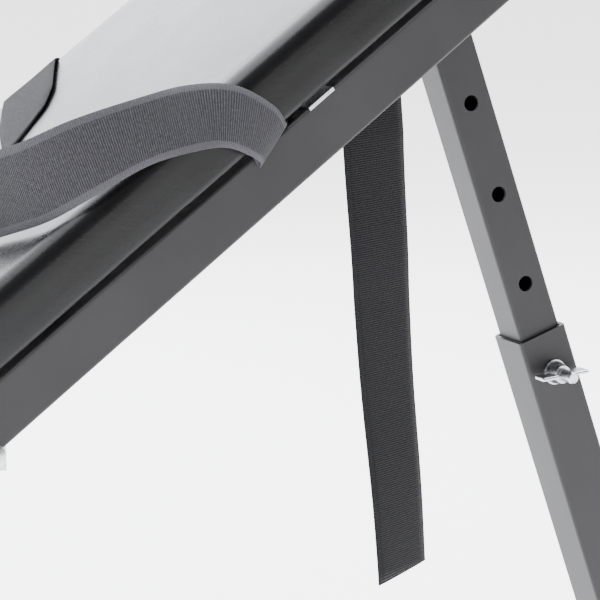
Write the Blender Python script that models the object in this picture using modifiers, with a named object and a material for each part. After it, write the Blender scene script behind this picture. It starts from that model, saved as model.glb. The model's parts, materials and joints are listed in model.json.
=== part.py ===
"""Slant board: a padded two-half board on box-section rails, held up by one telescoping rear post.

Metres, +Z up, +X towards the raised head end, +Y to the left of a user looking at the head end.
Board coordinates are (s, y, n): s runs up the slope from the fold, n stands off the rails' lower face.
Post coordinates are (x, y, z) with z running up the post from where its axis meets the board.
"""
import math

import bmesh
import bpy
from mathutils import Matrix, Vector

# Angles of the board and the post.
SLOPE = math.radians(37.0)
POST_LEAN = math.radians(19.3)

# Clearances.
GAP = 0.0003
BORE_GAP = 0.0003
FOLD_GAP = 0.001

# Board frame.
FRAME_W = 0.350
RAIL_H = 0.040
RAIL_W = 0.025
RAIL_WALL = 0.002
RAIL_RADIUS = 0.002
HEAD_REACH = 0.880
POST_AT = 0.530
CROSS_H = 0.025
CROSS_W = 0.025
POST_CROSS_W = 0.050
HEAD_CROSS_AT = 0.845
HINGE_CROSS_AT = 0.100
MID_CROSS_UP = 0.223
PLUG_T = 0.003

# Pads.
PAD_LIFT = 0.0043
BOARD_T = 0.010
BOARD_INSET = 0.006
PAD_T = 0.0400
PAD_INSET = 0.001
PAD_EDGE = 0.012
PAD_HEAD = 0.900
PAD_FOOT_UP = 0.013
PAD_SPLIT = 0.003

# Pad bolts and the spacers they pass through.
PAD_BOLT_R = 0.003
PAD_BOLT_BITE = 0.0075
PAD_BOLT_HEAD_R = 0.006
PAD_BOLT_HEAD_T = 0.004
SPACER_R = 0.009
PAD_BOLT_Y = 0.100

# Fold hinges.
PLATE_T = 0.003
PLATE_LONG_U = 0.060
PLATE_LONG_L = 0.080
PLATE_HIGH = 0.036
EAR_BACK = 0.027
EAR_FRONT = 0.0215
EAR_DROP = 0.0236
EAR_TIP = 0.004
STEP_BACK = 0.031
RIVET_R = 0.004
RIVET_HEAD_R = 0.009
RIVET_HEAD_T = 0.004
RIVET_TAIL_R = 0.007
RIVET_TAIL_T = 0.002
LOWER_EAR = 0.012

# Telescoping post.
POST_IN = 0.038
POST_IN_WALL = 0.0025
POST_OUT_WALL = 0.003
POST_SLIDE_GAP = 0.0005
POST_OUT = POST_IN + 2 * (POST_OUT_WALL + POST_SLIDE_GAP)
POST_RADIUS = 0.003
POST_IN_LEN = 0.618
COLLAR_AT = 0.316
POST_END = 0.876
HOLE_FIRST = 0.1105
HOLE_PITCH = 0.080
HOLE_COUNT = 7
HOLE_USED = 4
HOLE_PLAY = 0.0015

# Locking bolt, washer and wing nut.
BOLT_R = 0.005
HOLE_R = BOLT_R + HOLE_PLAY
BOLT_OUT = 0.032
BOLT_HEAD_R = 0.0098
BOLT_HEAD_T = 0.0065
WASHER_R = 0.0105
WASHER_T = 0.002
NUT_BASE_R = 0.0095
NUT_TOP_R = 0.0075
NUT_H = 0.012
WING_REACH = 0.022
WING_T = 0.003
WING_LOW = 0.003
WING_HIGH = 0.018
WING_EDGE = 0.0012
WING_TURN = math.radians(-14.0)

# Floor bars.
BAR_H = 0.040
BAR_WALL = 0.002
BAR_RADIUS = 0.003
REAR_BAR_W = 0.052
REAR_BAR_LEN = 0.500
FOOT_BAR_W = 0.070
FOOT_BAR_LEN = 0.450
CAP_T = 0.004
CAP_EDGE = 0.0015

# Webbing.
STRAP_W = 0.050
STRAP_T = 0.002
STRAP_ENTRY = 0.287
STRAP_SLANT = 0.437
STRAP_FAR_SLANT = 0.500
STRAP_LAP_PAST = 0.015
NEAR_END = 0.120
FAR_END = 0.055
LAP_START = 0.020
TUCK_IN = 0.006
TUCK_RADIUS = 0.0075
CLIP_T = 0.0008
CLIP_LEN = 0.024
CLIP_AT = 0.344
CLIP_LIP = 0.0015
CLIP_REACH = 0.020
CLIP_LEAF = 0.088
CLIP_LEAF_H = 0.016
TAIL_AT = 0.393
TAIL_TOP = 0.0195
TAIL_LEN_0 = 0.045
TAIL_LEN_1 = 0.123
TAIL_LEN_2 = 0.215
TAIL_LEAN = 0.090
TAIL_CUT = 0.22
TAIL_TURN_1 = math.radians(8.0)
TAIL_TURN_2 = math.radians(18.0)
TAIL_OFF = 0.0075

# Facets.
ROUND = 24
CORNER = 3

# Places that follow from the sizes above.
HINGE_Z = BAR_H + POST_END * math.cos(POST_LEAN) - POST_AT * math.sin(SLOPE)
REAR_REACH = POST_AT * math.cos(SLOPE) + POST_END * math.sin(POST_LEAN) + REAR_BAR_W / 2
SEAT_Z = BAR_H + GAP
FOOT_LOW_S = (SEAT_Z - HINGE_Z) / math.sin(SLOPE)
FOOT_SKEW = -1 / math.tan(SLOPE)
MID_CROSS_AT = FOOT_LOW_S + MID_CROSS_UP
PAD_FOOT = FOOT_LOW_S + PAD_FOOT_UP
FOOT_X = (FOOT_LOW_S + FOOT_SKEW * RAIL_H / 2) * math.cos(SLOPE) - RAIL_H / 2 * math.sin(SLOPE)
FRONT_REACH = -FOOT_X + FOOT_BAR_W / 2
HINGE_X = (FRONT_REACH - REAR_REACH) / 2
RAIL_Y = FRAME_W / 2 - RAIL_W / 2
INNER_Y = FRAME_W / 2 - RAIL_W
BOARD_N = RAIL_H + PAD_LIFT
PAD_N = BOARD_N + BOARD_T + GAP
PAD_TOP = PAD_N + PAD_T
PAD_Y = FRAME_W / 2 - PAD_INSET
STRAP_FAR_AT = STRAP_ENTRY - STRAP_SLANT * (FRAME_W / 2 + STRAP_LAP_PAST)
BOLT_Z = -(HOLE_FIRST + (HOLE_USED - 1) * HOLE_PITCH)

for old in list(bpy.data.objects):
    bpy.data.objects.remove(old, do_unlink=True)

parts = bpy.data.collections.new("slant_board")
cutters = bpy.data.collections.new("cutters")
bpy.context.scene.collection.children.link(parts)
bpy.context.scene.collection.children.link(cutters)


# ---- helpers ----
def material(name, colour, metallic, roughness):
    mat = bpy.data.materials.new(name)
    mat.use_nodes = True
    shader = mat.node_tree.nodes["Principled BSDF"]
    shader.inputs["Base Color"].default_value = (*colour, 1.0)
    shader.inputs["Metallic"].default_value = metallic
    shader.inputs["Roughness"].default_value = roughness
    return mat


FINISH = {
    "frame": ((0.075, 0.073, 0.077), 0.0, 0.45),
    "zinc": ((0.62, 0.63, 0.65), 1.0, 0.30),
    "vinyl": ((0.012, 0.012, 0.014), 0.0, 0.25),
    "ply": ((0.024, 0.020, 0.017), 0.0, 0.70),
    "webbing": ((0.045, 0.045, 0.052), 0.0, 0.80),
    "plastic": ((0.02, 0.02, 0.02), 0.0, 0.50),
    "rubber": ((0.015, 0.015, 0.015), 0.0, 0.75),
}


def empty(name, location, turn, parent=None):
    obj = bpy.data.objects.new(name, None)
    obj.location = location
    obj.rotation_euler = (0.0, turn, 0.0)
    obj.parent = parent
    parts.objects.link(obj)
    return obj


def finish(name, bm, parent, location=(0, 0, 0), look=None, turn=(0, 0, 0)):
    bmesh.ops.recalc_face_normals(bm, faces=bm.faces)
    mesh = bpy.data.meshes.new(name)
    bm.to_mesh(mesh)
    bm.free()
    obj = bpy.data.objects.new(name, mesh)
    obj.parent = parent
    obj.location = location
    obj.rotation_euler = turn
    if look:
        parts.objects.link(obj)
        mesh.materials.append(material(name, *FINISH[look]))
    else:
        cutters.objects.link(obj)
        obj.hide_render = True
        obj.display_type = "WIRE"
    return obj


def boolean(obj, cutter, operation="DIFFERENCE"):
    mod = obj.modifiers.new(cutter.name, "BOOLEAN")
    mod.operation = operation
    mod.solver = "EXACT"
    mod.object = cutter


def rounded(wide, high, radius):
    """Outline of a rectangle with rounded corners, counter-clockwise."""
    out = []
    for quarter, (sx, sy) in enumerate(((1, 1), (-1, 1), (-1, -1), (1, -1))):
        for step in range(CORNER + 1):
            angle = (quarter + step / CORNER) * math.pi / 2
            out.append((
                sx * (wide / 2 - radius) + radius * math.cos(angle),
                sy * (high / 2 - radius) + radius * math.sin(angle),
            ))
    return out


def tube(name, axes, wide, high, wall, radius, start, stop, parent, location, look):
    """Box section along axes[2] from start(a, b) to stop(a, b), which may be slanted cuts."""
    bm = bmesh.new()
    frame = Matrix(axes).transposed()
    loops = []
    for shrink, end in ((0, start), (0, stop), (wall, stop), (wall, start)):
        inner_radius = max(radius - shrink, radius / 4)
        outline = rounded(wide - 2 * shrink, high - 2 * shrink, inner_radius)
        loops.append([bm.verts.new(frame @ Vector((a, b, end(a, b)))) for a, b in outline])
    count = len(loops[0])
    for here, there in zip(loops, loops[1:] + loops[:1]):
        for i in range(count):
            j = (i + 1) % count
            bm.faces.new((here[i], here[j], there[j], there[i]))
    return finish(name, bm, parent, location, look)


def flat_end(value):
    return lambda a, b: value


def block(name, size, parent, location, look, edge=0.0, segments=2, turn=(0, 0, 0)):
    bm = bmesh.new()
    bmesh.ops.create_cube(bm, size=1.0, matrix=Matrix.Diagonal((*size, 1.0)))
    obj = finish(name, bm, parent, location, look, turn)
    if edge:
        mod = obj.modifiers.new("edge", "BEVEL")
        mod.width = edge
        mod.segments = segments
    return obj


def prism(name, outline, low, high, lift, parent, location, look):
    """Outline (a, b) pushed from low to high along the third axis; lift places (a, b, c)."""
    bm = bmesh.new()
    base = [bm.verts.new(lift(a, b, low)) for a, b in outline]
    face = bm.faces.new(base)
    up = Vector(lift(0, 0, high)) - Vector(lift(0, 0, low))
    made = bmesh.ops.extrude_face_region(bm, geom=[face])
    moved = [g for g in made["geom"] if isinstance(g, bmesh.types.BMVert)]
    bmesh.ops.translate(bm, verts=moved, vec=up)
    return finish(name, bm, parent, location, look)


def lathe(name, profile, parent, location, look, turn=(0, 0, 0), steps=ROUND):
    """Profile of (radius, height) spun about Z into a closed solid of revolution."""
    bm = bmesh.new()
    verts = [bm.verts.new((r, 0.0, z)) for r, z in profile]
    edges = [bm.edges.new(pair) for pair in zip(verts, verts[1:])]
    if profile[0][0] > 0:
        edges.append(bm.edges.new((verts[-1], verts[0])))
    bmesh.ops.spin(
        bm, geom=verts + edges, cent=(0, 0, 0), axis=(0, 0, 1),
        angle=2 * math.pi, steps=steps, use_merge=True,
    )
    bmesh.ops.remove_doubles(bm, verts=bm.verts, dist=1e-6)
    obj = finish(name, bm, parent, location, look, turn)
    obj.data.shade_smooth()
    obj.data.set_sharp_from_angle(angle=math.radians(35))
    return obj


def drill(name, holes, parent, location=(0, 0, 0)):
    """One cutter holding every hole: (centre, radius, length, direction)."""
    bm = bmesh.new()
    for centre, radius, length, direction in holes:
        turn = Vector((0, 0, 1)).rotation_difference(Vector(direction)).to_matrix().to_4x4()
        bmesh.ops.create_cone(
            bm, cap_ends=True, segments=ROUND, radius1=radius, radius2=radius,
            depth=length, matrix=Matrix.Translation(centre) @ turn,
        )
    return finish(name, bm, parent, location)


def arc(centre, radius, first, last, steps):
    out = []
    for i in range(steps + 1):
        angle = math.radians(first + (last - first) * i / steps)
        out.append((centre[0] + radius * math.cos(angle), centre[1] + radius * math.sin(angle)))
    return out


def ribbon(name, rows, parent, location):
    """A woven strap: rows of edge-point pairs, thickened evenly about the surface."""
    bm = bmesh.new()
    pairs = [[bm.verts.new(p) for p in row] for row in rows]
    for here, there in zip(pairs, pairs[1:]):
        bm.faces.new((here[0], here[1], there[1], there[0]))
    obj = finish(name, bm, parent, location, "webbing")
    mod = obj.modifiers.new("thickness", "SOLIDIFY")
    mod.thickness = STRAP_T
    mod.offset = 0.0
    mod.use_even_offset = True
    return obj


# ---- frames ----
hinge_point = (HINGE_X, 0.0, HINGE_Z)
upper = empty("upper_board_frame", hinge_point, -SLOPE)
lower = empty("board_fold_axis", hinge_point, -SLOPE)
post_x = HINGE_X + POST_AT * math.cos(SLOPE)
post_z = HINGE_Z + POST_AT * math.sin(SLOPE)
post = empty("post_frame", (post_x, 0.0, post_z), -POST_LEAN)
floor = empty("floor_frame", (HINGE_X, 0.0, 0.0), 0.0)

ALONG_S = ((0, 1, 0), (0, 0, 1), (1, 0, 0))
ALONG_Y = ((0, 0, 1), (1, 0, 0), (0, 1, 0))
ALONG_Z = ((1, 0, 0), (0, 1, 0), (0, 0, 1))


# ---- rails, each with a relief round the hinge rivet ----
def foot_cut(a, b):
    return FOOT_LOW_S + FOOT_SKEW * (b + RAIL_H / 2)


SIDES = {"right": -1, "left": 1}
for side, sign in SIDES.items():
    for half, frame in (("upper", upper), ("lower", lower)):
        start = flat_end(FOLD_GAP) if half == "upper" else foot_cut
        stop = flat_end(HEAD_REACH) if half == "upper" else flat_end(-FOLD_GAP)
        rail = tube(
            f"{half}_rail_{side}", ALONG_S, RAIL_W, RAIL_H, RAIL_WALL, RAIL_RADIUS,
            start, stop, frame, (0, sign * RAIL_Y, RAIL_H / 2), "frame",
        )
        relief = [((0, 0, -RAIL_H / 2), RIVET_R + 2 * BORE_GAP, 2 * RAIL_W, (0, 1, 0))]
        boolean(rail, drill(f"cut_{half}_rail_{side}", relief, frame, (0, sign * RAIL_Y, RAIL_H / 2)))
    plug_s = HEAD_REACH + GAP + PLUG_T / 2
    block(
        f"head_plug_{side}", (PLUG_T, RAIL_W, RAIL_H), upper,
        (plug_s, sign * RAIL_Y, RAIL_H / 2), "plastic", edge=RAIL_RADIUS / 2,
    )

# ---- cross tubes welded between the rails; four of them carry the pad bolts ----
PAD_BOLT_AT = {"upper": (HINGE_CROSS_AT, HEAD_CROSS_AT), "lower": (-HINGE_CROSS_AT, MID_CROSS_AT)}
reach = INNER_Y - GAP
for name, frame, at, wide in (
    ("head_cross_tube", upper, HEAD_CROSS_AT, CROSS_W),
    ("post_cross_tube", upper, POST_AT, POST_CROSS_W),
    ("upper_fold_cross_tube", upper, HINGE_CROSS_AT, CROSS_W),
    ("lower_fold_cross_tube", lower, -HINGE_CROSS_AT, CROSS_W),
    ("lower_mid_cross_tube", lower, MID_CROSS_AT, CROSS_W),
):
    cross = tube(
        name, ALONG_Y, CROSS_H, wide, RAIL_WALL, RAIL_RADIUS,
        flat_end(-reach), flat_end(reach), frame, (at, 0, CROSS_H / 2), "frame",
    )
    if at != POST_AT:
        holes = [
            ((0, sign * PAD_BOLT_Y, 0), PAD_BOLT_R + BORE_GAP, 2 * CROSS_H, (0, 0, 1)) for sign in (-1, 1)
        ]
        boolean(cross, drill(f"cut_{name}", holes, frame, (at, 0, CROSS_H / 2)))

# ---- pad boards, pads, spacers and bolts ----
for half, frame, low, high in (
    ("upper", upper, PAD_SPLIT, PAD_HEAD), ("lower", lower, PAD_FOOT, -PAD_SPLIT),
):
    middle = (low + high) / 2
    board = block(
        f"{half}_pad_board",
        (high - low - 2 * BOARD_INSET, 2 * (PAD_Y - BOARD_INSET), BOARD_T),
        frame, (middle, 0, BOARD_N + BOARD_T / 2), "ply",
    )
    block(
        f"{half}_pad", (high - low, 2 * PAD_Y, PAD_T),
        frame, (middle, 0, PAD_N + PAD_T / 2), "vinyl", edge=PAD_EDGE, segments=3,
    )
    holes = []
    for number, s in enumerate(PAD_BOLT_AT[half], 1):
        for side, sign in SIDES.items():
            y = sign * PAD_BOLT_Y
            depth = PAD_BOLT_BITE + GAP
            holes.append(((s - middle, y, 0), PAD_BOLT_R + BORE_GAP, 2 * depth, (0, 0, 1)))
            lathe(
                f"{half}_spacer_{side}_{number}",
                (
                    (PAD_BOLT_R + BORE_GAP, CROSS_H + GAP), (SPACER_R, CROSS_H + GAP),
                    (SPACER_R, BOARD_N - GAP), (PAD_BOLT_R + BORE_GAP, BOARD_N - GAP),
                ),
                frame, (s, y, 0), "rubber", steps=16,
            )
            lathe(
                f"{half}_pad_bolt_{side}_{number}",
                (
                    (0, -GAP - PAD_BOLT_HEAD_T), (PAD_BOLT_HEAD_R * 0.8, -GAP - PAD_BOLT_HEAD_T),
                    (PAD_BOLT_HEAD_R, -GAP - PAD_BOLT_HEAD_T / 2), (PAD_BOLT_HEAD_R, -GAP),
                    (PAD_BOLT_R, -GAP), (PAD_BOLT_R, BOARD_N + PAD_BOLT_BITE), (0, BOARD_N + PAD_BOLT_BITE),
                ),
                frame, (s, y, 0), "zinc", steps=16,
            )
    boolean(board, drill(f"cut_{half}_pad_board", holes, frame, (middle, 0, BOARD_N)))

# ---- fold hinges: a flat plate on the upper rails, a stepped plate on the lower rails, one rivet each ----
flat_plate = (
    (-EAR_BACK, 0), (EAR_TIP, -EAR_DROP), (EAR_FRONT, 0), (PLATE_LONG_U, 0),
    (PLATE_LONG_U, PLATE_HIGH), (EAR_TIP, PLATE_HIGH), (-EAR_BACK * 0.6, EAR_BACK * 0.6),
)
layer = PLATE_T + GAP
for side, sign in SIDES.items():
    def on_rail(s, n, depth, sign=sign):
        return (s, sign * (INNER_Y - GAP - depth), n)

    def stepped(s, depth, n, sign=sign):
        return (s, sign * (INNER_Y - GAP - depth), n)

    bore = drill(
        f"cut_hinge_{side}", [((0, sign * INNER_Y, 0), RIVET_R + BORE_GAP, 4 * RAIL_W, (0, 1, 0))], upper,
    )
    plate = prism(f"upper_hinge_plate_{side}", flat_plate, 0, PLATE_T, on_rail, upper, (0, 0, 0), "zinc")
    boolean(plate, bore)
    step = (
        (-PLATE_LONG_L, 0), (-STEP_BACK, 0), (-STEP_BACK, layer), (LOWER_EAR, layer),
        (LOWER_EAR, layer + PLATE_T), (-PLATE_LONG_L, layer + PLATE_T),
    )
    plate = prism(
        f"lower_hinge_plate_{side}", step, -LOWER_EAR, PLATE_HIGH, stepped, lower, (0, 0, 0), "zinc",
    )
    boolean(plate, bore)
    inside = RAIL_W + GAP + layer + PLATE_T + GAP
    lathe(
        f"hinge_rivet_{side}",
        (
            (0, -RIVET_HEAD_T), (RIVET_HEAD_R * 0.45, -RIVET_HEAD_T * 0.9),
            (RIVET_HEAD_R * 0.8, -RIVET_HEAD_T * 0.6), (RIVET_HEAD_R, -GAP), (RIVET_R, -GAP),
            (RIVET_R, inside), (RIVET_TAIL_R, inside), (RIVET_TAIL_R * 0.8, inside + RIVET_TAIL_T),
            (0, inside + RIVET_TAIL_T),
        ),
        upper, (0, sign * FRAME_W / 2, 0), "zinc", turn=(sign * math.pi / 2, 0, 0),
    )

# ---- telescoping post ----
mitre = math.tan(SLOPE - POST_LEAN)
post_top = -GAP / math.cos(SLOPE - POST_LEAN)
inner = tube(
    "upper_post", ALONG_Z, POST_IN, POST_IN, POST_IN_WALL, POST_RADIUS,
    flat_end(-POST_IN_LEN), lambda a, b: post_top + mitre * a, post, (0, 0, 0), "frame",
)
holes = [
    ((0, 0, -(HOLE_FIRST + i * HOLE_PITCH)), HOLE_R, 2 * POST_IN, (0, 1, 0)) for i in range(HOLE_COUNT)
]
boolean(inner, drill("cut_upper_post", holes, post))

post_foot = (SEAT_Z - post_z) / math.cos(POST_LEAN)
outer = tube(
    "lower_post", ALONG_Z, POST_OUT, POST_OUT, POST_OUT_WALL, POST_RADIUS,
    lambda a, b: post_foot - math.tan(POST_LEAN) * a, flat_end(-COLLAR_AT), post, (0, 0, 0), "frame",
)
holes = [((0, 0, BOLT_Z), BOLT_R + BORE_GAP, 2 * POST_OUT, (0, 1, 0))]
boolean(outer, drill("cut_lower_post", holes, post))

# ---- locking bolt, washer and wing nut, on the right-hand face of the post ----
face = POST_OUT / 2
towards_right = (math.pi / 2, 0, 0)
lathe(
    "locking_bolt",
    (
        (0, face + BOLT_OUT), (BOLT_R * 0.8, face + BOLT_OUT), (BOLT_R, face + BOLT_OUT - BOLT_R * 0.3),
        (BOLT_R, -face - GAP), (BOLT_HEAD_R, -face - GAP), (BOLT_HEAD_R, -face - GAP - BOLT_HEAD_T * 0.8),
        (BOLT_HEAD_R * 0.85, -face - GAP - BOLT_HEAD_T), (0, -face - GAP - BOLT_HEAD_T),
    ),
    post, (0, 0, BOLT_Z), "zinc", turn=towards_right,
)
washer_low = face + GAP
lathe(
    "washer",
    (
        (BOLT_R + BORE_GAP, washer_low), (WASHER_R, washer_low),
        (WASHER_R, washer_low + WASHER_T), (BOLT_R + BORE_GAP, washer_low + WASHER_T),
    ),
    post, (0, 0, BOLT_Z), "zinc", turn=towards_right,
)
nut_low = washer_low + WASHER_T + GAP
nut = lathe(
    "wing_nut",
    (
        (BOLT_R + BORE_GAP, nut_low), (NUT_BASE_R, nut_low), (NUT_TOP_R, nut_low + NUT_H),
        (BOLT_R + BORE_GAP, nut_low + NUT_H),
    ),
    post, (0, 0, BOLT_Z), "zinc", turn=towards_right,
)
wing_len = WING_REACH - (BOLT_R + NUT_TOP_R) / 2
for sign in (1, -1):
    along = sign * (WING_REACH - wing_len / 2)
    wing = block(
        f"join_wing_{sign + 1}", (wing_len, WING_T, WING_HIGH - WING_LOW), post,
        (
            along * math.cos(WING_TURN), -(nut_low + (WING_LOW + WING_HIGH) / 2),
            BOLT_Z + along * math.sin(WING_TURN),
        ),
        None, edge=WING_EDGE, turn=(math.pi / 2, -WING_TURN, 0),
    )
    boolean(nut, wing, "UNION")

# ---- floor bars and their end caps ----
rear_x = REAR_REACH - REAR_BAR_W / 2
for name, wide, length, x in (
    ("rear_floor_bar", REAR_BAR_W, REAR_BAR_LEN, rear_x), ("foot_bar", FOOT_BAR_W, FOOT_BAR_LEN, FOOT_X),
):
    half_len = length / 2 - CAP_T - GAP
    tube(
        name, ALONG_Y, BAR_H, wide, BAR_WALL, BAR_RADIUS,
        flat_end(-half_len), flat_end(half_len), floor, (x, 0, BAR_H / 2), "frame",
    )
    for side, sign in SIDES.items():
        block(
            f"{name}_cap_{side}", (wide, CAP_T, BAR_H), floor,
            (x, sign * (length - CAP_T) / 2, BAR_H / 2), "plastic", edge=CAP_EDGE,
        )

# ---- straps: lapped over the pad, down its sides and into the slots between pad and rails ----
skin = PAD_TOP + GAP + STRAP_T / 2
shoulder = (PAD_Y - PAD_EDGE, PAD_TOP - PAD_EDGE)
bend = PAD_EDGE + GAP + STRAP_T / 2
slot_n = RAIL_H + PAD_LIFT / 2
side_y = PAD_Y + GAP + STRAP_T / 2
tuck = arc((side_y - TUCK_RADIUS, slot_n + TUCK_RADIUS), TUCK_RADIUS, 0, -90, 4)
wrap = arc(shoulder, bend, 90, 0, 6) + tuck + [(INNER_Y - TUCK_IN, slot_n)]
half_w = STRAP_W / 2


def lengths(line):
    out = [0.0]
    for here, there in zip(line, line[1:]):
        out.append(out[-1] + math.dist(here, there))
    return out


lap = skin + STRAP_T + GAP
over = [(-NEAR_END, lap), (-FAR_END + LAP_START, lap), (-LAP_START, skin), (shoulder[0] * 0.6, skin)]
line = over + wrap
far_off = lengths(line)
entry = far_off[len(over) + 7 + 4]
spread = half_w * math.sqrt(1 + STRAP_SLANT ** 2)
rows = []
for (y, n), run in zip(line, far_off):
    s = STRAP_ENTRY + STRAP_SLANT * (run - entry)
    rows.append(((s - spread, -y, n), (s + spread, -y, n)))
ribbon("strap_near", rows, upper, (0, 0, 0))
line = [(FAR_END, skin)] + wrap
spread = half_w * math.sqrt(1 + STRAP_FAR_SLANT ** 2)
rows = []
for (y, n), run in zip(line, lengths(line)):
    s = STRAP_FAR_AT + STRAP_FAR_SLANT * run
    rows.append(((s - spread, y, n), (s + spread, y, n)))
ribbon("strap_far", rows, upper, (0, 0, 0))

# ---- hanging tail, held against the inside of the right-hand rail by a folded clip ----
def board_point(s, y, n):
    return Vector((
        s * math.cos(SLOPE) - n * math.sin(SLOPE), y, s * math.sin(SLOPE) + n * math.cos(SLOPE),
    ))


tail_y = -(INNER_Y - GAP - STRAP_T / 2)
stations = [(board_point(TAIL_AT, tail_y, TAIL_TOP), 0.0)]
for length, turn, inboard in (
    (TAIL_LEN_0, 0.0, 0.0), (TAIL_LEN_1, TAIL_TURN_1, TAIL_OFF), (TAIL_LEN_2, TAIL_TURN_2, 0.0),
):
    drop = Vector((length * TAIL_LEAN, inboard, -length))
    stations.append((stations[-1][0] + drop, turn))
rows = []
for (here, turn), (there, turned) in zip(stations, stations[1:]):
    for i in range(4):
        mix = i / 4
        centre = here.lerp(there, mix)
        angle = turn + (turned - turn) * mix
        way = Vector((math.cos(angle), math.sin(angle), TAIL_LEAN)).normalized() * half_w
        rows.append((centre - way, centre + way))
cut = Vector((math.cos(TAIL_TURN_2), math.sin(TAIL_TURN_2), TAIL_CUT)) * half_w
rows.append((stations[-1][0] - cut, stations[-1][0] + cut))
hang = empty("tail_frame", hinge_point, 0.0)
ribbon("strap_tail", rows, hang, (0, 0, 0))

clip_top = RAIL_H + GAP + CLIP_T
clip_out = FRAME_W / 2 + GAP + CLIP_T
clip_in = INNER_Y - 2 * GAP - STRAP_T - CLIP_T
clip = (
    (clip_out, RAIL_H - CLIP_LIP), (clip_out, clip_top), (clip_in, clip_top),
    (clip_in, RAIL_H - CLIP_REACH), (clip_in + CLIP_T, RAIL_H - CLIP_REACH),
    (clip_in + CLIP_T, clip_top - CLIP_T), (clip_out - CLIP_T, clip_top - CLIP_T),
    (clip_out - CLIP_T, RAIL_H - CLIP_LIP),
)
folded = prism(
    "strap_clip", clip, CLIP_AT - CLIP_LEN / 2, CLIP_AT + CLIP_LEN / 2,
    lambda y, n, s: (s, -y, n), upper, (0, 0, 0), "zinc",
)
leaf = block(
    "join_clip_leaf", (CLIP_LEAF, CLIP_T, CLIP_LEAF_H), upper,
    (CLIP_AT - CLIP_LEN / 2 + CLIP_LEAF / 2, -(clip_in + CLIP_T / 2), TAIL_TOP + CLIP_T + GAP), None,
)
boolean(folded, leaf, "UNION")
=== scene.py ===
# %% [markdown]
# # A padded slant board
# The frame is already built and jointed. This lesson adds what makes it look real: upholstered pads,
# woven straps and staples, and a finish for every piece of metal, wood, plastic and rubber.
# The board is tilted, so soft pieces are made in board coordinates: s up the slope from the fold,
# y across, and n standing off the lower face of the rails.

# %% Load the frame
import json
import math

import bmesh
import bpy
from mathutils import Matrix, Vector, noise


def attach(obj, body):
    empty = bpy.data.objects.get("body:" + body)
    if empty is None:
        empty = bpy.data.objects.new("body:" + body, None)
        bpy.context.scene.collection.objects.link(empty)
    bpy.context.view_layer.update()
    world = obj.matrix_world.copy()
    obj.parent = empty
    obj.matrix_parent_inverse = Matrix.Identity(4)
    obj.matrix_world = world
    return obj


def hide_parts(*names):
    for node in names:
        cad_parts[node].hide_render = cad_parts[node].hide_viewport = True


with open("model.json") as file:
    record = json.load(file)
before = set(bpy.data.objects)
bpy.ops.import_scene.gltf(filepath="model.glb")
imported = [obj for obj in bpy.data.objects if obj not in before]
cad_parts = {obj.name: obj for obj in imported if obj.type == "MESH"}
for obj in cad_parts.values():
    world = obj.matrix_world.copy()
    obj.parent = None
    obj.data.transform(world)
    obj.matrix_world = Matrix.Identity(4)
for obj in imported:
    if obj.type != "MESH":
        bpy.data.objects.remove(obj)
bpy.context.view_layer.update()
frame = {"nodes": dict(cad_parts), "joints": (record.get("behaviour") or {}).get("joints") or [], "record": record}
SLOPE = math.radians(37.0)
fold = next(j for j in frame["joints"] if j["name"] == "board_fold")
HINGE = Vector(fold["pos_m"])

# %% [markdown]
# The rails, pads and straps all lie square to the slope. One matrix carries a point from board
# coordinates into the world, so each piece can be drawn flat and then laid in place.

# %% Board coordinates
ALONG = Vector((math.cos(SLOPE), 0, math.sin(SLOPE)))
OFF = Vector((-math.sin(SLOPE), 0, math.cos(SLOPE)))
BOARD = Matrix.Translation(HINGE) @ Matrix((ALONG, (0, 1, 0), OFF)).transposed().to_4x4()


def add_mesh(name, bm, mat, body):
    """A smooth-shaded object made from a bmesh. It rides a body unless it belongs to the studio."""
    bmesh.ops.recalc_face_normals(bm, faces=bm.faces)
    mesh = bpy.data.meshes.new(name)
    bm.to_mesh(mesh)
    bm.free()
    obj = bpy.data.objects.new(name, mesh)
    bpy.context.scene.collection.objects.link(obj)
    mesh.materials.append(mat)
    mesh.shade_smooth()
    if body:
        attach(obj, body)
    print(name, len(mesh.polygons), "faces")
    return obj


# %% [markdown]
# ## Camera
# The camera stands about two metres off the right-hand side, a little above the middle of the board
# and turned towards the head end. A long lens frames a close view from there.

# %% Camera
LENS = 155.8
SENSOR = 36.0
FROM_FOLD_X = -0.5532
SIDE_Y = -1.854
ABOVE_FOLD = 0.4056
TILT = 80.45
TURN = -25.12
camera_data = bpy.data.cameras.new("camera")
camera_data.lens = LENS
camera_data.sensor_width = SENSOR
camera_data.clip_end = 100.0
camera = bpy.data.objects.new("camera", camera_data)
camera.location = (HINGE.x + FROM_FOLD_X, SIDE_Y, HINGE.z + ABOVE_FOLD)
camera.rotation_euler = (math.radians(TILT), 0.0, math.radians(TURN))
bpy.context.scene.collection.objects.link(camera)
bpy.context.scene.camera = camera
print("camera", LENS, "mm lens at", tuple(round(v, 3) for v in camera.location))

# %% [markdown]
# ## Light
# The room is brighter behind the board than in front of it, so the top of the gloss pads reflects a
# broad pale field while the faces turned to the camera stay dark. Three large panels add soft light
# from behind, from the left and from above.

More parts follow.
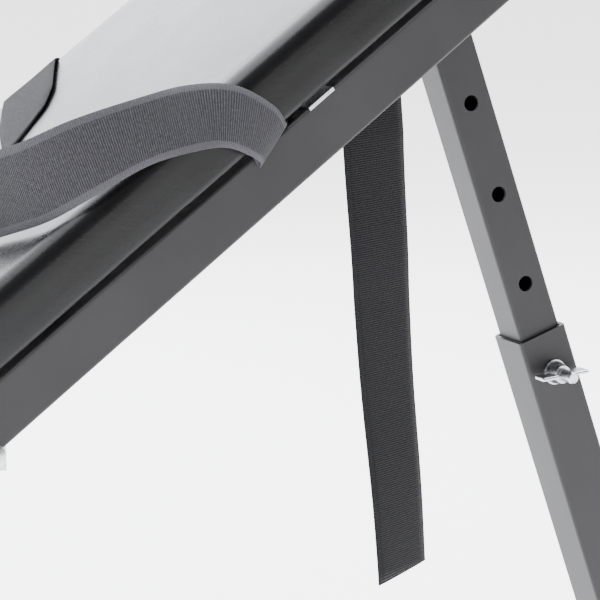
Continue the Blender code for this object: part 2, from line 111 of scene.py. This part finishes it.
# %% World, brighter behind the board
FRONT_GLOW = 0.35
BACK_GLOW = 1.8
world = bpy.data.worlds.new("studio")
bpy.context.scene.world = world
world.use_nodes = True
world.node_tree.nodes["Background"].inputs["Color"].default_value = (1.0, 1.0, 1.0, 1.0)
sky = world.node_tree
facing = sky.nodes.new("ShaderNodeTexCoord")
split = sky.nodes.new("ShaderNodeSeparateXYZ")
fade = sky.nodes.new("ShaderNodeMapRange")
fade.inputs["From Min"].default_value = -1.0
fade.inputs["To Min"].default_value = FRONT_GLOW
fade.inputs["To Max"].default_value = BACK_GLOW
sky.links.new(facing.outputs["Generated"], split.inputs[0])
sky.links.new(split.outputs["Y"], fade.inputs["Value"])
sky.links.new(fade.outputs["Result"], sky.nodes["Background"].inputs["Strength"])
print("world glow from", FRONT_GLOW, "in front to", BACK_GLOW, "behind")

# %% Light panels
COOL_WHITE = (0.93, 0.95, 1.0)


def panel(name, at, aim, size, power):
    """A soft rectangular lamp, size in metres and power in watts, turned to face a point."""
    data = bpy.data.lights.new(name, "AREA")
    data.shape = "RECTANGLE"
    data.size, data.size_y = size
    data.energy = power
    data.color = COOL_WHITE
    lamp = bpy.data.objects.new(name, data)
    lamp.location = at
    lamp.rotation_euler = (Vector(aim) - Vector(at)).to_track_quat("-Z", "Y").to_euler()
    bpy.context.scene.collection.objects.link(lamp)
    print(name, size, "m", power, "W")


panel("back_panel", (0.0, 3.6, 2.6), (0.0, 0.0, 0.7), (4.0, 2.4), 230)
panel("left_panel", (-3.4, 0.6, 1.1), (0.3, 0.0, 0.6), (2.0, 2.0), 60)
panel("top_panel", (0.6, 1.2, 4.2), (0.6, 1.2, 0.0), (5.0, 5.0), 620)

# %% [markdown]
# ## Finishes
# Every finish is procedural. Colours come from hex values through one function, and nodes are added by
# one small helper, so each material below reads as a list of what the real surface does.

# %% Node helper
def hex_colour(text):
    """An sRGB hex value as linear red, green, blue and alpha."""
    channels = [int(text[i:i + 2], 16) / 255 for i in (1, 3, 5)]
    return (*[c / 12.92 if c < 0.04045 else ((c + 0.055) / 1.055) ** 2.4 for c in channels], 1.0)


def node(tree, kind, settings=None, **inputs):
    """Adds a node. An input is named with _ for a space, or i0, i1 and so on by its number."""
    made = tree.nodes.new(kind)
    for key, value in (settings or {}).items():
        setattr(made, key, value)
    for key, value in inputs.items():
        numbered = key[0] == "i" and key[1:].isdigit()
        slot = made.inputs[int(key[1:]) if numbered else key.replace("_", " ")]
        if isinstance(value, bpy.types.NodeSocket):
            tree.links.new(value, slot)
        else:
            slot.default_value = value
    return made


def surface(name, colour, roughness, metallic=0.0):
    """A plain Principled finish to build on: the material, its node tree and its shader."""
    mat = bpy.data.materials.new(name)
    mat.use_nodes = True
    shader = mat.node_tree.nodes["Principled BSDF"]
    shader.inputs["Base Color"].default_value = hex_colour(colour)
    shader.inputs["Roughness"].default_value = roughness
    shader.inputs["Metallic"].default_value = metallic
    shader.inputs["Specular IOR Level"].default_value = 0.4 if metallic == 0 else 0.5
    return mat, mat.node_tree, shader


def mottle(tree, shader, place, low, high, scale, rough):
    """Slow colour drift between two tones, and the same drift in roughness."""
    cloud = node(tree, "ShaderNodeTexNoise", Vector=place, Scale=scale, Detail=6.0)
    ramp = node(tree, "ShaderNodeValToRGB", Fac=cloud.outputs["Fac"])
    ramp.color_ramp.elements[0].position = 0.35
    ramp.color_ramp.elements[1].position = 0.65
    ramp.color_ramp.elements[0].color = hex_colour(low)
    ramp.color_ramp.elements[1].color = hex_colour(high)
    tree.links.new(ramp.outputs["Color"], shader.inputs["Base Color"])
    span = node(tree, "ShaderNodeMapRange", Value=cloud.outputs["Fac"])
    span.inputs["To Min"].default_value = rough[0]
    span.inputs["To Max"].default_value = rough[1]
    tree.links.new(span.outputs["Result"], shader.inputs["Roughness"])


def relief(tree, shader, height, strength, distance):
    """Surface texture too fine to model, standing up to distance metres off the surface."""
    bump = node(tree, "ShaderNodeBump", Height=height, Strength=strength, Distance=distance)
    tree.links.new(bump.outputs["Normal"], shader.inputs["Normal"])


# %% [markdown]
# Powder coat on the tubes is a satin dark grey with a fine orange-peel skin and faint handling marks.

# %% Powder-coated steel
coat_mat, tree, shader = surface("dark_grey_powder_coat", "#565455", 0.42)
place = node(tree, "ShaderNodeTexCoord").outputs["Object"]
mottle(tree, shader, place, "#1f1e20", "#262527", 14.0, (0.44, 0.56))
peel = node(tree, "ShaderNodeTexNoise", Vector=place, Scale=900.0, Detail=2.0)
relief(tree, shader, peel.outputs["Fac"], 0.25, 0.0003)

# %% [markdown]
# Zinc-plated hardware is bright and faintly brushed, with cloudy patches where the plating is thicker.

# %% Bright zinc
zinc_mat, tree, shader = surface("bright_zinc_plate", "#cfd2d6", 0.28, metallic=1.0)
place = node(tree, "ShaderNodeTexCoord").outputs["Object"]
mottle(tree, shader, place, "#b9bcc0", "#d8dbdf", 160.0, (0.20, 0.38))
brush = node(tree, "ShaderNodeMapping", Vector=place, Scale=(300.0, 300.0, 3500.0))
grain = node(tree, "ShaderNodeTexNoise", Vector=brush.outputs["Vector"], Scale=1.0, Detail=3.0)
relief(tree, shader, grain.outputs["Fac"], 0.12, 0.0002)

# %% [markdown]
# Upholstery vinyl: black, glossy, embossed with a fine leather grain of about a millimetre.

# %% Black vinyl
vinyl_mat, tree, shader = surface("black_gloss_vinyl", "#121214", 0.26)
shader.inputs["Specular IOR Level"].default_value = 0.3
place = node(tree, "ShaderNodeTexCoord").outputs["Object"]
mottle(tree, shader, place, "#040405", "#09090b", 22.0, (0.22, 0.33))
pebble = node(tree, "ShaderNodeTexVoronoi", {"feature": "DISTANCE_TO_EDGE"}, Vector=place, Scale=850.0)
crease = node(tree, "ShaderNodeTexNoise", Vector=place, Scale=260.0, Detail=5.0)
mix = node(
    tree, "ShaderNodeMath", {"operation": "ADD"}, i0=pebble.outputs["Distance"], i1=crease.outputs["Fac"],
)
relief(tree, shader, mix.outputs["Value"], 0.22, 0.0004)

# %% [markdown]
# Webbing is woven with a rib every 1.7 mm along its length and a plain selvedge at each edge. The
# strap's UVs are in metres, so the ribs keep their size on every strap. The near strap lies over the
# pad facing up into the light, so it gets a paler copy of the webbing, a painted highlight. The black copy
# is the webbing's own black, darkened a little further as painted shade for the two ends that hang or sit in
# shadow.

# %% Woven webbing
RIB = 0.0017
WARP_SHARE = 0.7
WARP_HEIGHT = 0.35
SELVEDGE_AT = 0.0215


def webbing(name, dark, light, border):
    """Ribbed webbing between two tones, with a border tone past the selvedge line."""
    mat, tree, shader = surface(name, dark, 0.78)
    shader.inputs["Sheen Weight"].default_value = 0.06
    shader.inputs["Sheen Roughness"].default_value = 0.5
    flat = node(tree, "ShaderNodeUVMap", {"uv_map": "weave"}).outputs["UV"]
    split = node(tree, "ShaderNodeSeparateXYZ", Vector=flat)
    turns = node(
        tree, "ShaderNodeMath", {"operation": "MULTIPLY"}, i0=split.outputs["Y"], i1=2 * math.pi / RIB,
    )
    rib = node(tree, "ShaderNodeMath", {"operation": "SINE"}, i0=turns.outputs["Value"])
    cross = node(
        tree, "ShaderNodeMath", {"operation": "MULTIPLY"},
        i0=split.outputs["X"], i1=2 * math.pi / RIB / WARP_SHARE,
    )
    warp = node(tree, "ShaderNodeMath", {"operation": "SINE"}, i0=cross.outputs["Value"])
    both = node(
        tree, "ShaderNodeMath", {"operation": "MULTIPLY_ADD"},
        i0=warp.outputs["Value"], i1=WARP_HEIGHT, i2=rib.outputs["Value"],
    )
    relief(tree, shader, both.outputs["Value"], 0.6, 0.0003)
    tone = node(tree, "ShaderNodeMapRange", Value=both.outputs["Value"])
    tone.inputs["From Min"].default_value = -1 - WARP_HEIGHT
    tone.inputs["From Max"].default_value = 1 + WARP_HEIGHT
    fuzz = node(tree, "ShaderNodeTexNoise", Vector=flat, Scale=420.0, Detail=4.0)
    blend = node(
        tree, "ShaderNodeMath", {"operation": "MULTIPLY"}, i0=tone.outputs["Result"], i1=fuzz.outputs["Fac"],
    )
    ramp = node(tree, "ShaderNodeValToRGB", Fac=blend.outputs["Value"])
    ramp.color_ramp.elements[0].color = hex_colour(dark)
    ramp.color_ramp.elements[1].color = hex_colour(light)
    ramp.color_ramp.elements[1].position = 0.7
    off_centre = node(tree, "ShaderNodeMath", {"operation": "ABSOLUTE"}, i0=split.outputs["X"])
    edge = node(
        tree, "ShaderNodeMath", {"operation": "GREATER_THAN"}, i0=off_centre.outputs["Value"], i1=SELVEDGE_AT,
    )
    rim = node(
        tree, "ShaderNodeMix", {"data_type": "RGBA"},
        Factor=edge.outputs["Value"], i6=ramp.outputs["Color"], i7=hex_colour(border),
    )
    tree.links.new(rim.outputs[2], shader.inputs["Base Color"])
    shader.inputs["Specular IOR Level"].default_value = 0.2
    return mat


# Two tones of one webbing: the black copy, darkened a little as painted shade for the ends in shadow, and a paler
# copy painted lighter as a highlight for the near strap.
web_mat = webbing("black_ribbed_webbing", "#050506", "#201f23", "#1b1b1e")
lit_webbing_mat = webbing("painted_lit_ribbed_webbing", "#1b1b1d", "#55545a", "#4a494e")

# %% [markdown]
# The boards under the pads are black-stained plywood. The grain runs up the slope, so the texture
# space is turned by the slope before it is stretched along the grain.

# %% Black-stained plywood
ply_mat, tree, shader = surface("black_stained_plywood", "#2a2623", 0.66)
place = node(tree, "ShaderNodeTexCoord").outputs["Object"]
level = node(tree, "ShaderNodeMapping", Vector=place, Rotation=(0.0, SLOPE, 0.0), Scale=(3.0, 60.0, 60.0))
mottle(tree, shader, level.outputs["Vector"], "#211d1a", "#352f2a", 1.5, (0.55, 0.75))
fibre = node(tree, "ShaderNodeTexNoise", Vector=level.outputs["Vector"], Scale=9.0, Detail=8.0)
relief(tree, shader, fibre.outputs["Fac"], 0.3, 0.0004)

# %% [markdown]
# The plastic pieces are moulded, which leaves them satin with a fine even texture. Rubber is matt.

# %% Moulded plastic and rubber
plastic_mat, tree, shader = surface("black_moulded_plastic", "#1b1b1c", 0.5)
place = node(tree, "ShaderNodeTexCoord").outputs["Object"]
mottle(tree, shader, place, "#171718", "#212122", 30.0, (0.42, 0.58))
spark = node(tree, "ShaderNodeTexNoise", Vector=place, Scale=1400.0, Detail=2.0)
relief(tree, shader, spark.outputs["Fac"], 0.35, 0.0002)

rubber_mat, tree, shader = surface("black_rubber", "#151515", 0.8)
place = node(tree, "ShaderNodeTexCoord").outputs["Object"]
mottle(tree, shader, place, "#111111", "#1c1c1c", 90.0, (0.7, 0.9))

# %% [markdown]
# The frame pieces keep their meshes. Each already names the finish it takes, so one table from finish
# name to material dresses them all.

# %% Give every frame piece its finish
LOOKS = {
    "frame": coat_mat, "zinc": zinc_mat, "vinyl": vinyl_mat, "ply": ply_mat,
    "webbing": web_mat, "plastic": plastic_mat, "rubber": rubber_mat,
}
for part in frame["record"]["subparts"]:
    obj = frame["nodes"][part["node"]]
    obj.data.materials.clear()
    obj.data.materials.append(LOOKS[part["material_slot"]])

# %% [markdown]
# The floor is part of the studio and not of the board. It gives off light itself, so that it stays
# nearly white behind the board.

# %% Floor
FLOOR_GLOW = 1.9
FLOOR_HALF = 40.0
FLOOR_DROP = 0.0005
floor_mat, tree, shader = surface("pale_studio_floor", "#f6f6f6", 0.9)
shader.inputs["Emission Color"].default_value = (1.0, 1.0, 1.0, 1.0)
shader.inputs["Emission Strength"].default_value = FLOOR_GLOW
bm = bmesh.new()
below = Matrix.Translation((0, 0, -FLOOR_DROP))
bmesh.ops.create_grid(bm, x_segments=1, y_segments=1, size=FLOOR_HALF, matrix=below)
floor = add_mesh("floor", bm, floor_mat, None)

# %% [markdown]
# ## Pads
# Each pad is foam on a board, wrapped in vinyl that is pulled down over the edge and stapled below.
# A grid of cuts is rounded into a pillow edge, then the top is crowned and the stretched skin is given
# shallow undulations. Real upholstery also has a seam or gathers at the corners, left out here.

# %% Pad builder
PAD_HALF = 0.174
PAD_BASE = 0.0446
PAD_TOP = 0.0943
PAD_ROUND = 0.014
CROWN = 0.0022
CELL = 0.010
BEND_STEPS = 6
WAVE = 0.0004
SIDE_WAVE = 0.0005
SIDE_BAND = 0.01
UPPER_ENDS = (0.003, 0.900)
LOWER_ENDS = (-0.830, -0.003)


def spread(low, high, radius):
    """Cut positions: even in the middle, bunched over each rounded edge."""
    bends = [radius * (1 - math.cos(i * math.pi / (2 * BEND_STEPS))) for i in range(1, BEND_STEPS + 1)]
    inner_low, inner_high = low + radius, high - radius
    count = max(2, round((inner_high - inner_low) / CELL))
    middle = [inner_low + (inner_high - inner_low) * i / count for i in range(1, count)]
    return [low + b for b in bends] + middle + [high - b for b in bends]


def pad(name, low, high, body):
    """An upholstered pad from low to high up the slope, laid in place on its board."""
    base, top = PAD_BASE - PAD_ROUND * 0.7, PAD_TOP - CROWN
    box = ((low, high), (-PAD_HALF, PAD_HALF), (base, top))
    bm = bmesh.new()
    size = Vector([b - a for a, b in box])
    middle = Vector([(a + b) / 2 for a, b in box])
    bmesh.ops.create_cube(bm, size=1.0, matrix=Matrix.Translation(middle) @ Matrix.Diagonal((*size, 1)))
    for axis in range(3):
        normal = Vector([float(i == axis) for i in range(3)])
        for at in spread(*box[axis], PAD_ROUND):
            geom = bm.verts[:] + bm.edges[:] + bm.faces[:]
            bmesh.ops.bisect_plane(bm, geom=geom, plane_co=normal * at, plane_no=normal, dist=1e-6)
    for v in bm.verts:
        core = Vector([
            min(max(v.co[i], box[i][0] + PAD_ROUND), box[i][1] - PAD_ROUND) for i in range(3)
        ])
        out = v.co - core
        if out.length > 1e-7:
            v.co = core + out.normalized() * PAD_ROUND
        across = 1 - (v.co.y / PAD_HALF) ** 2
        along = 1 - abs((v.co.x - middle.x) / (size.x / 2)) ** 6
        lift = max(0.0, (v.co.z - PAD_BASE) / (top - PAD_BASE))
        wave = noise.noise(Vector((v.co.x * 9, v.co.y * 14, 3.0)))
        v.co.z += lift * (CROWN * across * along + WAVE * wave)
        side = noise.noise(Vector((v.co.x * 38, v.co.y * 2, v.co.z * 12)))
        near_side = abs(v.co.y) > PAD_HALF - SIDE_BAND
        v.co.y += SIDE_WAVE * side * (1 if v.co.y > 0 else -1) * (1 - lift) * near_side
        v.co.y = min(max(v.co.y, -PAD_HALF), PAD_HALF)
        v.co.z = max(v.co.z, PAD_BASE)
        v.co = BOARD @ v.co
    obj = add_mesh(name, bm, vinyl_mat, body)
    return obj


upper_pad = pad("upper_pad_cover", *UPPER_ENDS, "upper_board")
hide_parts("upper_pad")
lower_pad = pad("lower_pad_cover", *LOWER_ENDS, "lower_board")
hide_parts("lower_pad")

# %% [markdown]
# ## Straps
# Webbing bends freely along its length but hardly across it, so each strap is drawn by its two
# edges, as a band with a slight cup and thinner selvedges.

# %% Strap builder
STRAP_T = 0.0018
ACROSS = 8
STEPS = 12


def smooth_path(points, steps):
    """Catmull-Rom curve through the points."""
    out = []
    for i in range(len(points) - 1):
        p0, p1 = points[max(i - 1, 0)], points[i]
        p2, p3 = points[i + 1], points[min(i + 2, len(points) - 1)]
        for k in range(steps):
            t = k / steps
            out.append(0.5 * (2 * p1 + (p2 - p0) * t + (2 * p0 - 5 * p1 + 4 * p2 - p3) * t * t
                              + (3 * p1 - p0 - 3 * p2 + p3) * t ** 3))
    return out + [points[-1]]


def strap(name, left, right, body, width=0.050, cup=0.0006, mat=web_mat):
    """A closed woven band between two edge paths. Its weave UVs are in metres, width across them."""
    bm = bmesh.new()
    weave = bm.loops.layers.uv.new("weave")
    rows, run, place = [], 0.0, {}
    for i, (a, b) in enumerate(zip(left, right)):
        if i:
            run += ((a + b) / 2 - (left[i - 1] + right[i - 1]) / 2).length
        ahead, behind = min(i + 1, len(left) - 1), max(i - 1, 0)
        heading = (left[ahead] + right[ahead] - left[behind] - right[behind]).normalized()
        up = heading.cross(b - a).normalized()
        face, back = [], []
        for k in range(ACROSS + 1):
            u = k / ACROSS
            thin = STRAP_T / 2 * (0.55 if k in (0, ACROSS) else 1.0)
            at = a.lerp(b, u) + up * cup * (1 - (2 * u - 1) ** 2)
            for side, sign in ((face, 1), (back, -1)):
                v = bm.verts.new(at + up * thin * sign)
                place[v] = ((u - 0.5) * width, run)
                side.append(v)
        rows.append(face + back[::-1])
    count = len(rows[0])
    for here, there in zip(rows, rows[1:]):
        for k in range(count):
            j = (k + 1) % count
            bm.faces.new((here[k], here[j], there[j], there[k]))
    for row in (rows[0], rows[-1]):
        half = count // 2
        for k in range(half - 1):
            bm.faces.new((row[k], row[k + 1], row[count - 2 - k], row[count - 1 - k]))
    for f in bm.faces:
        for loop in f.loops:
            loop[weave].uv = place[loop.vert]
    obj = add_mesh(name, bm, mat, body)
    print(name, "webbing length", round(run, 3), "m")
    return obj


# %% [markdown]
# The near strap is slack: it stands on its lower edge over the pad, swings out past the shoulder and
# folds down into the slot between the pad and the rail. Its lower and upper edge are each a list of
# stations (s, y, n) in metres, mostly worked out outside this script and then adjusted. A
# smooth curve is drawn through them. The two edges don't keep quite one distance, as real webbing would.

# %% Near strap
near_low = (
    (0.0460, 0.010, 0.0970), (0.0760, -0.048, 0.0968), (0.1090, -0.108, 0.0966), (0.1365, -0.1528, 0.0962),
    (0.1723, -0.1764, 0.0953), (0.2110, -0.184, 0.0894), (0.2448, -0.190, 0.0758), (0.2633, -0.190, 0.0623),
    (0.2759, -0.186, 0.0403), (0.2755, -0.1785, 0.0330), (0.2780, -0.1735, 0.0424), (0.2860, -0.1480, 0.0424),
)
near_high = (
    (0.0880, 0.038, 0.0972), (0.1050, -0.030, 0.134), (0.1325, -0.096, 0.1485), (0.1590, -0.1406, 0.149),
    (0.1900, -0.165, 0.1455), (0.2315, -0.175, 0.131), (0.2700, -0.168, 0.1115), (0.2950, -0.182, 0.093),
    (0.3095, -0.183, 0.063), (0.3110, -0.1785, 0.045), (0.3150, -0.1700, 0.0424), (0.3280, -0.1480, 0.0424),
)
left = [BOARD @ p for p in smooth_path([Vector(p) for p in near_low], STEPS)]
right = [BOARD @ p for p in smooth_path([Vector(p) for p in near_high], STEPS)]
# The near strap takes the paler webbing, a painted highlight for its side that faces the light.
near = strap("near_strap_webbing", left, right, "upper_board", width=0.054, mat=lit_webbing_mat)
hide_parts("strap_near")

# %% [markdown]
# The far strap comes over the far edge of the pad and goes down into the slot there. It lies flat
# across its width, so a centre line in (y, n) is enough, drifting up the slope as it goes. Its free
# end is cut at a slant.

# %% Far strap
FAR_AT = 0.204
FAR_DRIFT = 0.5
FAR_HALF = 0.028
FAR_SLANT = 0.018
SLANT_ROWS = 6
far_path = [
    (0.055, 0.0962), (0.10, 0.0966), (0.150, 0.0960), (0.1625, 0.0948), (0.1725, 0.0885),
    (0.1758, 0.080), (0.1758, 0.055), (0.1740, 0.0462), (0.1680, 0.0424), (0.148, 0.0422),
]
centre_line = smooth_path([Vector((0.0, y, n)) for y, n in far_path], 6)
left, right, run = [], [], 0.0
for i, p in enumerate(centre_line):
    run += (p - centre_line[i - 1]).length if i else 0.0
    s_mid = FAR_AT + FAR_DRIFT * run
    trim = FAR_SLANT * max(0.0, 1 - i / SLANT_ROWS)
    left.append(BOARD @ Vector((s_mid - FAR_HALF, p.y - trim, p.z)))
    right.append(BOARD @ Vector((s_mid + FAR_HALF, p.y + trim, p.z)))
far_strap = strap("far_strap_webbing", left, right, "upper_board")
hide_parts("strap_far")

# %% [markdown]
# The tail hangs from the clip behind the rail. Below the rail it drifts inboard, twists slowly as loose
# webbing does and ripples a little, and its end is cut at a slant.

# %% Hanging tail
TAIL_TOP = BOARD @ Vector((0.393, -0.1487, 0.0195))
TAIL_LENGTH = 0.383
TAIL_ROWS = 60
TAIL_HALF = 0.025
LEAN = 0.090
CUT = 0.22
CLEAR_OF_RAIL = 0.045
TWIST = 18.0
TWIST_OVER = 0.338
DRIFT = 0.0075
DRIFT_OVER = 0.123
RIPPLE = 0.0012
tail_left, tail_right = [], []
for i in range(TAIL_ROWS + 1):
    drop = TAIL_LENGTH * i / TAIL_ROWS
    turn = math.radians(TWIST) * max(0.0, (drop - CLEAR_OF_RAIL) / TWIST_OVER) ** 0.8
    inboard = DRIFT * min(1.0, max(0.0, (drop - CLEAR_OF_RAIL) / DRIFT_OVER))
    ripple = RIPPLE * math.sin(drop * 34) * min(1.0, drop * 8)
    centre = TAIL_TOP + Vector((drop * LEAN, inboard + ripple, -drop))
    slant = CUT if i == TAIL_ROWS else LEAN
    reach = Vector((math.cos(turn), math.sin(turn), slant)) * TAIL_HALF
    tail_left.append(centre - reach)
    tail_right.append(centre + reach)
tail = strap("tail_webbing", tail_left, tail_right, "upper_board", cup=0.0003)
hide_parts("strap_tail")

# %% [markdown]
# ## Staples
# The vinyl is stapled to the underside of each board. One small staple is modelled, and Geometry Nodes
# repeats it along the row, turned to follow the edge. The result is turned into a plain mesh.

# %% Staple rows with Geometry Nodes
CROWN_LENGTH = 0.010
WIRE_WIDTH = 0.0012
WIRE_HEIGHT = 0.0006
STAPLE_PITCH = 0.038
STAPLE_ROW_Y = 0.138
STAPLE_ROW_N = 0.0438
STAPLE_INSET = 0.03


def staple_unit():
    """The visible back of one staple, kept out of the scene and used only by the rule below."""
    bm = bmesh.new()
    bmesh.ops.create_cube(bm, size=1.0, matrix=Matrix.Diagonal((CROWN_LENGTH, WIRE_WIDTH, WIRE_HEIGHT, 1)))
    mesh = bpy.data.meshes.new("staple_unit")
    bm.to_mesh(mesh)
    bm.free()
    return bpy.data.objects.new("staple_unit", mesh)


def repeat_tree(name, unit, mat):
    """The rule: points every Pitch metres along the incoming lines, with the unit on each."""
    tree = bpy.data.node_groups.new(name, "GeometryNodeTree")
    tree.interface.new_socket("Geometry", in_out="INPUT", socket_type="NodeSocketGeometry")
    pitch = tree.interface.new_socket("Pitch", in_out="INPUT", socket_type="NodeSocketFloat")
    tree.interface.new_socket("Geometry", in_out="OUTPUT", socket_type="NodeSocketGeometry")
    start = tree.nodes.new("NodeGroupInput")
    curve = node(tree, "GeometryNodeMeshToCurve", i0=start.outputs["Geometry"])
    points = node(tree, "GeometryNodeCurveToPoints", {"mode": "LENGTH"}, Curve=curve.outputs["Curve"])
    tree.links.new(start.outputs["Pitch"], points.inputs["Length"])
    thing = node(tree, "GeometryNodeObjectInfo", Object=unit)
    put = node(
        tree, "GeometryNodeInstanceOnPoints", Points=points.outputs["Points"],
        Instance=thing.outputs["Geometry"], Rotation=points.outputs["Rotation"],
    )
    real = node(tree, "GeometryNodeRealizeInstances", Geometry=put.outputs["Instances"])
    dress = node(tree, "GeometryNodeSetMaterial", Geometry=real.outputs["Geometry"], Material=mat)
    finish = tree.nodes.new("NodeGroupOutput")
    tree.links.new(dress.outputs["Geometry"], finish.inputs["Geometry"])
    return tree, pitch.identifier


def repeat_along(name, lines, unit, pitch, mat, body):
    """Copies of one small unit along straight lines, as one plain mesh."""
    bm = bmesh.new()
    for a, b in lines:
        bm.edges.new((bm.verts.new(a), bm.verts.new(b)))
    mesh = bpy.data.meshes.new(name + "_line")
    bm.to_mesh(mesh)
    bm.free()
    carrier = bpy.data.objects.new(name + "_line", mesh)
    bpy.context.scene.collection.objects.link(carrier)
    tree, pitch_id = repeat_tree(name + "_rule", unit, mat)
    mod = carrier.modifiers.new("rule", "NODES")
    mod.node_group = tree
    mod[pitch_id] = pitch
    bpy.context.view_layer.update()
    graph = bpy.context.evaluated_depsgraph_get()
    made = bpy.data.meshes.new_from_object(carrier.evaluated_get(graph))
    bpy.data.objects.remove(carrier, do_unlink=True)
    obj = bpy.data.objects.new(name, made)
    bpy.context.scene.collection.objects.link(obj)
    made.materials.clear()
    made.materials.append(mat)
    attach(obj, body)
    print(name, len(made.polygons), "faces")
    return obj


staple = staple_unit()
for half, (low, high) in (("upper", UPPER_ENDS), ("lower", LOWER_ENDS)):
    rows = []
    for y in (-STAPLE_ROW_Y, STAPLE_ROW_Y):
        start = BOARD @ Vector((low + STAPLE_INSET, y, STAPLE_ROW_N))
        end = BOARD @ Vector((high - STAPLE_INSET, y, STAPLE_ROW_N))
        rows.append((start, end))
    repeat_along(f"{half}_staples", rows, staple, STAPLE_PITCH, zinc_mat, f"{half}_board")
